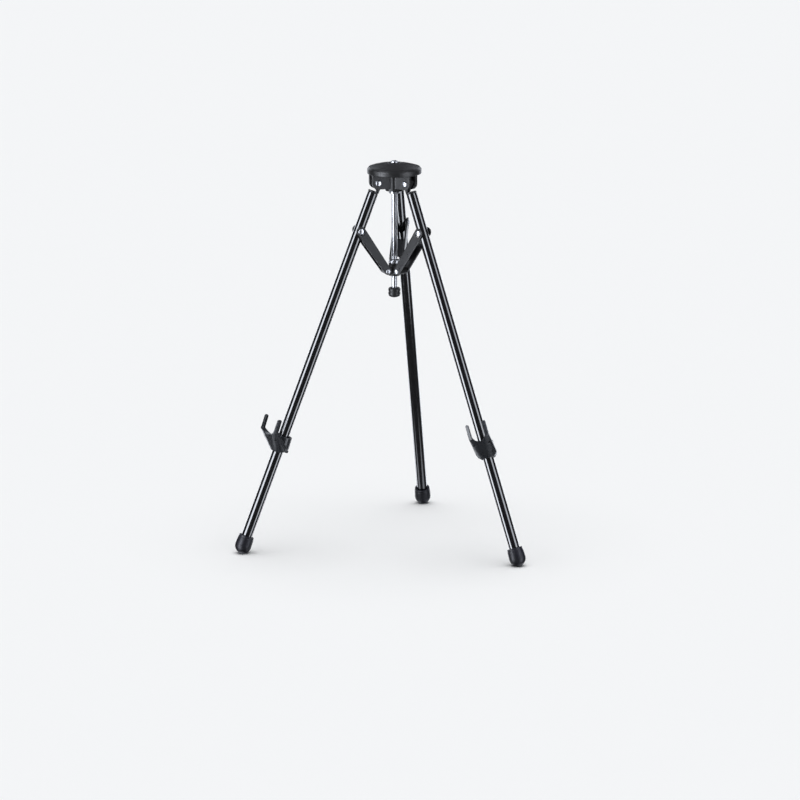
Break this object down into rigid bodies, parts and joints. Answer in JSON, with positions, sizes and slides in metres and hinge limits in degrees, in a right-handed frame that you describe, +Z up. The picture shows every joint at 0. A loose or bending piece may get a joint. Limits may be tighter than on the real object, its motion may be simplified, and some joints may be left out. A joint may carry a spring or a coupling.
{
  "type": "tabletop easel",
  "caption": "Folding tabletop tripod easel with tube legs on an umbrella-type hub and sliding, turning pronged board holders on the front legs.",
  "frame": {"origin": "on the table, under the middle of the easel's footprint", "axes": "+Z up from the table; the front of the easel, where the board stands, faces -Y; +X to the viewer's right, seen from the front"},
  "size_m": [0.2606, 0.2276, 0.3445],
  "materials": {
    "leg_paint": "gloss black paint",
    "rubber": "satin black rubber",
    "holder_plastic": "satin black with a blue-grey cast",
    "black_nylon": "satin black",
    "zinc_steel": "zinc plated"
  },
  "bodies": {
    "hub": {"hub": "black_nylon", "hub_cap": "black_nylon", "cap_screw": "zinc_steel", "centre_post": "zinc_steel", "post_stop_ring": "zinc_steel", "post_end_knob": "black_nylon", "hub_pin_left": "zinc_steel", "hub_pin_right": "zinc_steel", "hub_pin_rear": "zinc_steel"},
    "leg_left": {"leg_tube_left": "leg_paint", "leg_plug_left": "black_nylon", "foot_left": "rubber", "leg_rivet_left": "zinc_steel"},
    "leg_right": {"leg_tube_right": "leg_paint", "leg_plug_right": "black_nylon", "foot_right": "rubber", "leg_rivet_right": "zinc_steel"},
    "leg_rear": {"leg_tube_rear": "leg_paint", "leg_plug_rear": "black_nylon", "foot_rear": "rubber", "leg_rivet_rear": "zinc_steel"},
    "runner": {"runner": "black_nylon", "runner_pin_left": "zinc_steel", "runner_pin_right": "zinc_steel", "runner_pin_rear": "zinc_steel"},
    "stretcher_left": {"stretcher_left": "leg_paint"},
    "stretcher_right": {"stretcher_right": "leg_paint"},
    "stretcher_rear": {"stretcher_rear": "leg_paint"},
    "holder_grip_left": {"holder_grip_left": "rubber"},
    "holder_left": {"holder_left": "holder_plastic"},
    "holder_grip_right": {"holder_grip_right": "rubber"},
    "holder_right": {"holder_right": "holder_plastic"}
  },
  "joints": [
    {"name": "leg_left_fold", "type": "hinge", "parent": "hub", "child": "leg_left", "pos_m": [-0.01429, -0.04376, 0.32557], "axis": [0.5, -0.866, 0], "range_deg": [0, 21.5]},
    {"name": "leg_right_fold", "type": "hinge", "parent": "hub", "child": "leg_right", "pos_m": [0.01429, -0.04376, 0.32557], "axis": [0.5, 0.866, 0], "range_deg": [0, 21.5]},
    {"name": "leg_rear_fold", "type": "hinge", "parent": "hub", "child": "leg_rear", "pos_m": [0, -0.01901, 0.32557], "axis": [-1, 0, 0], "range_deg": [0, 21.5]},
    {"name": "runner_slide", "type": "slide", "parent": "hub", "child": "runner", "axis": [0, 0, 1], "range_m": [-0.0101, 0]},
    {"name": "stretcher_left_swing", "type": "hinge", "parent": "runner", "child": "stretcher_left", "pos_m": [-0.00675, -0.03941, 0.24642], "axis": [0.5, -0.866, 0], "range_deg": [-23, 0]},
    {"name": "stretcher_right_swing", "type": "hinge", "parent": "runner", "child": "stretcher_right", "pos_m": [0.00675, -0.03941, 0.24642], "axis": [0.5, 0.866, 0], "range_deg": [-23, 0]},
    {"name": "stretcher_rear_swing", "type": "hinge", "parent": "runner", "child": "stretcher_rear", "pos_m": [0, -0.02771, 0.24642], "axis": [-1, 0, 0], "range_deg": [-23, 0]},
    {"name": "holder_left_slide", "type": "slide", "parent": "leg_left", "child": "holder_grip_left", "axis": [0.3174, 0.1833, 0.9304], "range_m": [-0.077, 0.133]},
    {"name": "holder_left_turn", "type": "hinge", "parent": "holder_grip_left", "child": "holder_left", "pos_m": [-0.09402, -0.08979, 0.09185], "axis": [0.3174, 0.1833, 0.9304], "range_deg": [-48, 35]},
    {"name": "holder_right_slide", "type": "slide", "parent": "leg_right", "child": "holder_grip_right", "axis": [-0.3174, 0.1833, 0.9304], "range_m": [-0.078, 0.132]},
    {"name": "holder_right_turn", "type": "hinge", "parent": "holder_grip_right", "child": "holder_right", "pos_m": [0.09358, -0.08953, 0.09315], "axis": [-0.3174, 0.1833, 0.9304], "range_deg": [-14, 68]}
  ],
  "couplings": [
    {"joint": "leg_right_fold", "follows": "leg_left_fold", "ratio": 1},
    {"joint": "leg_rear_fold", "follows": "leg_left_fold", "ratio": 1},
    {"joint": "runner_slide", "follows": "leg_left_fold", "m_per_rad": -0.026636},
    {"joint": "stretcher_left_swing", "follows": "leg_left_fold", "ratio": -1.065},
    {"joint": "stretcher_right_swing", "follows": "leg_left_fold", "ratio": -1.065},
    {"joint": "stretcher_rear_swing", "follows": "leg_left_fold", "ratio": -1.065}
  ]
}
